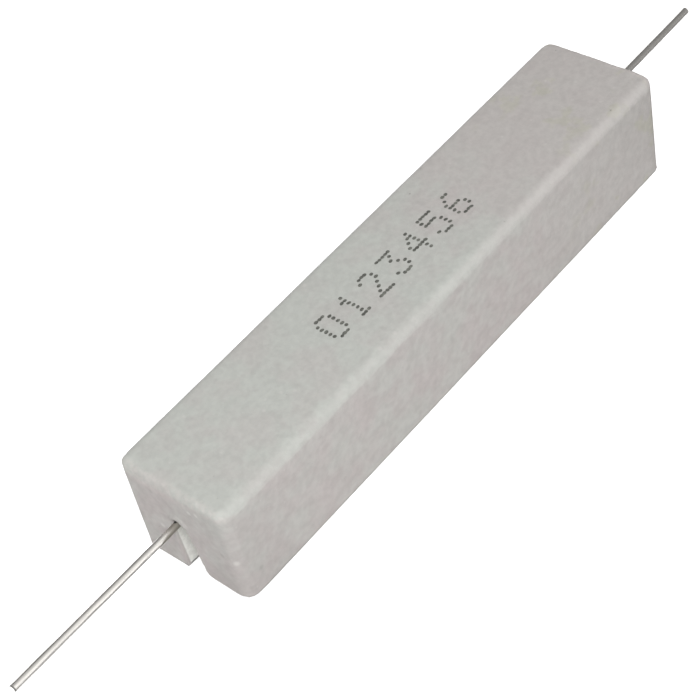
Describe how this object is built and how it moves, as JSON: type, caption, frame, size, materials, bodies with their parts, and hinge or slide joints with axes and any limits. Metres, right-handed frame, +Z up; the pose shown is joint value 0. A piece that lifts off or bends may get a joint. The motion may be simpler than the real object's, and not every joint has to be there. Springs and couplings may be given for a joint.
{
  "type": "axial cement resistor",
  "caption": "Rectangular ceramic-cased power resistor with axial wire leads, notched ends and an open side sealed with cement.",
  "frame": {"origin": "centre of the face that the resistor rests on, its open side struck off level with the rim", "axes": "+X along the leads from the near end towards the far end, +Z up from the open side to the printed face, +Y to the left seen from the near end"},
  "size_m": [0.0991, 0.013, 0.012],
  "materials": {
    "ceramic": "matt unglazed white-grey ceramic with a fine grain",
    "cement": "rough, struck off level",
    "core": "matt",
    "resistance_wire": "satin",
    "cap_steel": "satin",
    "tinned_wire": "bright tinned, drawn along its length"
  },
  "bodies": {
    "root": {"ceramic_case": "ceramic", "cement_fill": "cement", "core_rod": "core", "winding": "resistance_wire", "near_cap": "cap_steel", "far_cap": "cap_steel", "near_lead": "tinned_wire", "far_lead": "tinned_wire"}
  },
  "joints": []
}
